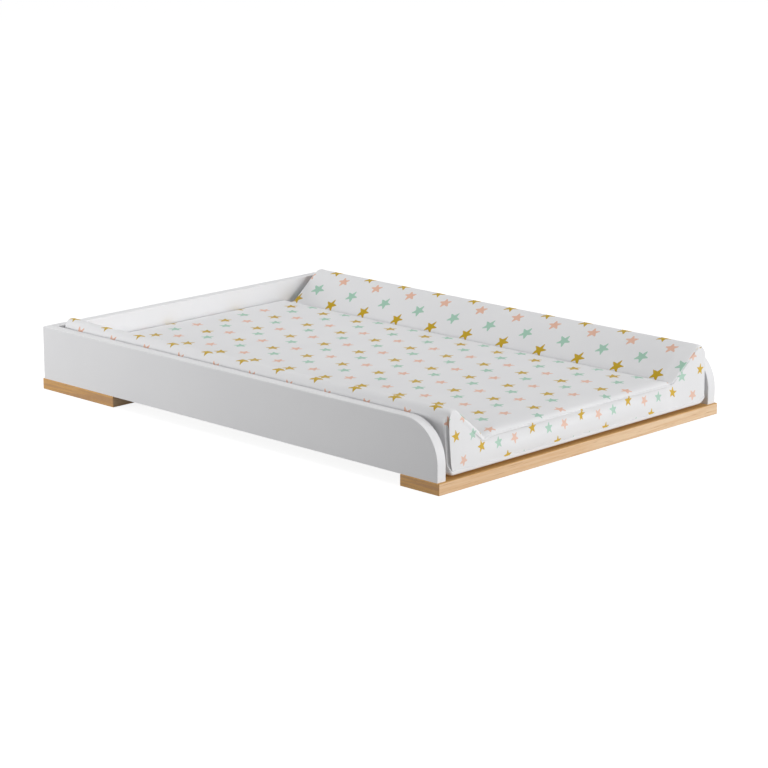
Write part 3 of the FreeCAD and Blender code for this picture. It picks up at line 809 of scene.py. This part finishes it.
def swellLimits():
    loop = np.arange(loopCount)
    limit = np.full(loopCount, swelling["wall"])
    limit[(loop >= topStart) & (loop <= leftStart)] = swelling["ridge"]
    onSlope = ((loop > slopeFirst) & (loop < flatFirst)) | ((loop > flatLast) & (loop < slopeLast))
    limit[onSlope] = swelling["slope"]
    limit[(loop > flatFirst) & (loop < flatLast)] = swelling["flat"]
    tube = np.tile(limit, (stationCount, 1))
    tube[:ringCount] = tube[-ringCount:] = swelling["bead"]
    fade = swelling["endFade"]
    inside = np.minimum(sideSteps - np.arange(1, sideSteps), fade) / fade
    end = np.tile(swelling["end"] * inside, topSteps - 1)
    return np.concatenate([tube.ravel(), end, end])


def swell(points, quads, held):
    mesh = fillMesh(bpy.data.meshes.new("swelling"), points, quads)
    body = bpy.data.objects.new("swelling", mesh)
    scene.collection.objects.link(body)
    welds = body.vertex_groups.new(name="welds")
    welds.add(np.flatnonzero(held).tolist(), 1.0, "REPLACE")
    cloth = body.modifiers.new("Cloth", "CLOTH").settings
    cloth.vertex_group_mass = "welds"
    cloth.use_pressure = True
    cloth.uniform_pressure_force = swelling["pressure"]
    cloth.tension_stiffness = cloth.compression_stiffness = swelling["stiff"]
    cloth.bending_stiffness = swelling["bend"]
    cloth.mass = swelling["mass"]
    cloth.effector_weights.gravity = 0.0
    for number in range(1, swelling["frames"] + 1):
        scene.frame_set(number)
    shaped = body.evaluated_get(bpy.context.evaluated_depsgraph_get())
    moved = np.empty(len(points) * 3, np.float32)
    shaped.data.vertices.foreach_get("co", moved)
    bpy.data.objects.remove(body)
    scene.frame_set(1)
    return moved.reshape(-1, 3).astype(float)


def swollen():
    move = swell(shellPoints, shellQuads, weldedPoints()) - shellPoints
    size = np.linalg.norm(move, axis=1)
    print("film swells by up to", round(1000 * float(size.max()), 2), "mm before the cap")
    return shellPoints + move * np.minimum(1, swellLimits() / np.maximum(size, 1e-9))[:, None]


# The lower front corner on the right curls up a little
curl = {"lift": 0.0045, "from": 0.255, "over": 0.010, "top": 0.040, "under": 0.016, "deep": 0.030,
        "fade": 0.022}


def curled(points):
    x, y, z = points.T
    share = ease((x - curl["from"]) / curl["over"]) * ease((curl["top"] - z) / curl["under"])
    share = share * ease((matLow[1] + curl["deep"] - y) / curl["fade"])
    return points + np.outer(curl["lift"] * share, [0, 0, 1])


def sharpen(mesh):
    # Edges that run along a seam or a crease stay sharp when the surface is smoothed
    ends = np.empty(len(mesh.edges) * 2, np.int32)
    mesh.edges.foreach_get("vertices", ends)
    ends = ends.reshape(-1, 2)
    station, loop = np.divmod(ends, loopCount)
    fromEnd = np.minimum(station, stationCount - 1 - station)
    onTube = (ends < stationCount * loopCount).all(1)
    seam = onTube & (fromEnd == seamStep).all(1)
    crease = onTube & ((loop == flatFirst).all(1) | (loop == flatLast).all(1))
    deep = crease | (seam & (loop > leftStart).all(1))
    sharp = np.where(deep, 1.0, np.where(seam, mat["seamSharp"], 0.0))
    mesh.attributes.new("crease_edge", "FLOAT", "EDGE").data.foreach_set("value", sharp.astype(np.float32))


def sheetNumber(mesh):
    number = np.empty(len(mesh.polygons), np.int32)
    mesh.attributes["sheet"].data.foreach_get("value", number)
    return number


def thickSheet(points, quads, normals, low, high):
    # Two skins off the surface, joined along their open edge
    used, index = np.unique(quads, return_inverse=True)
    faces = index.reshape(quads.shape)
    count = len(used)
    outer, inner = points[used] + normals[used] * high, points[used] + normals[used] * low
    edges = np.stack([faces, np.roll(faces, -1, axis=1)], -1).reshape(-1, 2)
    key = np.sort(edges, axis=1)
    back, times = np.unique(key, axis=0, return_inverse=True, return_counts=True)[1:]
    rim = edges[times[back.ravel()] == 1]
    band = np.stack([rim[:, 1], rim[:, 0], rim[:, 0] + count, rim[:, 1] + count], -1)
    return np.concatenate([outer, inner]), np.concatenate([faces, faces[:, ::-1] + count, band])


cushion = newPiece("mat_cushion", curled(swollen()), shellQuads, *cushionFilms)
cushion.data.polygons.foreach_set("material_index", faceFilms().astype(np.int32))
cushion.data.attributes.new("sheet", "INT", "FACE").data.foreach_set("value", shellSheet.astype(np.int32))
paintPrint(cushion.data)
sharpen(cushion.data)
subdivision = cushion.modifiers.new("Subdivision", "SUBSURF")
subdivision.levels = subdivision.render_levels = 1
shaped = bpy.data.meshes.new_from_object(cushion.evaluated_get(bpy.context.evaluated_depsgraph_get()))
cushion.modifiers.clear()
cushion.data = shaped
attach(cushion, "mat")
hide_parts("mat_top_cover", "mat_front_end", "mat_rear_end",
            "foam_slab", "foam_wedge_left", "foam_wedge_right")
print("mat cushion made:", len(shaped.polygons), "faces")

baseSheet = {"under": 0.0001, "over": 0.0006}


def makeBaseSheet():
    points = np.empty(len(shaped.vertices) * 3, np.float32)
    normals = np.empty(len(shaped.vertices) * 3, np.float32)
    quads = np.empty(len(shaped.loops), np.int32)
    shaped.vertices.foreach_get("co", points)
    shaped.vertices.foreach_get("normal", normals)
    shaped.loops.foreach_get("vertex_index", quads)
    below = quads.reshape(-1, 4)[sheetNumber(shaped) == lowSheet]
    skins = thickSheet(points.reshape(-1, 3), below, normals.reshape(-1, 3),
                       baseSheet["under"], baseSheet["over"])
    piece = newPiece("mat_base_sheet_film", *skins, filmPlain)
    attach(piece, "mat")
    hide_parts("mat_base_sheet")


makeBaseSheet()
print("base sheet made")


# Floor, light and camera
studio = {"floorSize": 40.0, "floorWhite": 0.35, "floorGlow": 0.87, "worldLight": 0.345}


def makeFloor():
    size = studio["floorSize"]
    corners = np.array([[-size, -size, 0], [size, -size, 0], [size, size, 0], [-size, size, 0]], float)
    material, tree, shader = newMaterial("studioFloor")
    shader.inputs["Base Color"].default_value = [studio["floorWhite"]] * 3 + [1.0]
    shader.inputs["Roughness"].default_value = 1.0
    shader.inputs["Specular IOR Level"].default_value = 0.0
    shader.inputs["Emission Color"].default_value = (1, 1, 1, 1)
    feed(tree, shader.inputs["Emission Strength"], calc(tree, "MULTIPLY", seenRay(tree), studio["floorGlow"]))
    floor = newPiece("studio_floor", corners, np.array([[0, 1, 2, 3]]), material)


def seenRay(tree):  # 1 for rays from the camera, mirrors and glass
    path = tree.nodes.new("ShaderNodeLightPath")
    seen = calc(tree, "MAXIMUM", path.outputs["Is Camera Ray"], path.outputs["Is Glossy Ray"])
    return calc(tree, "MAXIMUM", seen, path.outputs["Is Transmission Ray"])


def makeWorld():
    world = bpy.data.worlds.new("studio")
    world.use_nodes = True
    tree = world.node_tree
    background = tree.nodes["Background"]
    background.inputs["Color"].default_value = (1, 1, 1, 1)
    seen = seenRay(tree)
    rest = calc(tree, "MULTIPLY", calc(tree, "SUBTRACT", 1.0, seen), studio["worldLight"])
    feed(tree, background.inputs["Strength"], calc(tree, "ADD", seen, rest))
    scene.world = world


lamps = {
    # Low on the right, before the open front
    "keyLamp": {"place": (1.5, -5.0, 1.05), "aim": (0.0, 0.0, 0.06), "size": 2.4, "power": 166.0},
    # Behind on the left, so that the left side fades towards the front
    "sideLamp": {"place": (-1.5, 0.95, 0.28), "aim": (-0.2, 0.3, 0.05), "size": 0.5, "power": 9.4},
    # Above, a little behind, onto everything that lies flat
    "topLamp": {"place": (0.0, 0.9, 3.2), "aim": (0.0, 0.0, 0.06), "size": 1.2, "power": 29.5},
}


def makeLamps():
    for name, lamp in lamps.items():
        light = bpy.data.lights.new(name, "AREA")
        light.shape = "DISK"
        light.size = lamp["size"]
        light.energy = lamp["power"]
        body = bpy.data.objects.new(name, light)
        body.location = lamp["place"]
        toLamp = Vector(lamp["place"]) - Vector(lamp["aim"])
        body.rotation_euler = toLamp.to_track_quat("Z", "Y").to_euler()
        scene.collection.objects.link(body)


view = {"azimuth": -45.639, "elevation": 14.030, "eye": (-2.5719, -2.5358, 0.9278), "lens": 120.76}


def makeCamera():
    turn, rise = math.radians(view["azimuth"]), math.radians(view["elevation"])
    back = Vector((math.sin(turn) * math.cos(rise), -math.cos(turn) * math.cos(rise), math.sin(rise)))
    camera = bpy.data.cameras.new("camera")
    camera.lens = view["lens"]
    body = bpy.data.objects.new("camera", camera)
    body.location = view["eye"]
    body.rotation_euler = (-back).to_track_quat("-Z", "Y").to_euler()
    scene.collection.objects.link(body)
    scene.camera = body


makeFloor()
makeWorld()
makeLamps()
makeCamera()
scene.view_settings.view_transform = "Standard"
print("studio set")
